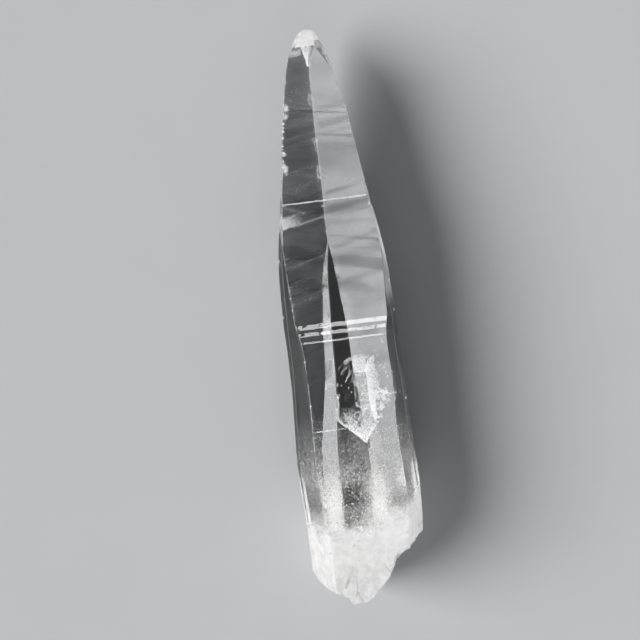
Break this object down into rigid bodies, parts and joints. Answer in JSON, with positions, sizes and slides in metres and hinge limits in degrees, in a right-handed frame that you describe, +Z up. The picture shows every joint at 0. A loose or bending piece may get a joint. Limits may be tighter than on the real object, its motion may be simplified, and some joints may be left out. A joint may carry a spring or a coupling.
{
  "type": "quartz point",
  "caption": "Clear natural quartz point, long and tapering, with growth-lined faces, an inner veil and a milky broken base, lying on its narrow back face as a display piece.",
  "frame": {"origin": "on the surface the crystal lies on, under the middle of its bounding box", "axes": "+Y along the crystal towards its tip, +X to the right seen from the base, +Z up out of the wide front face"},
  "size_m": [0.0378, 0.184, 0.0335],
  "materials": {
    "clear_quartz": "clear, glossy natural growth faces with fine lines across, milky white towards the broken base"
  },
  "bodies": {
    "root": {"quartz_point": "clear_quartz"}
  },
  "joints": []
}
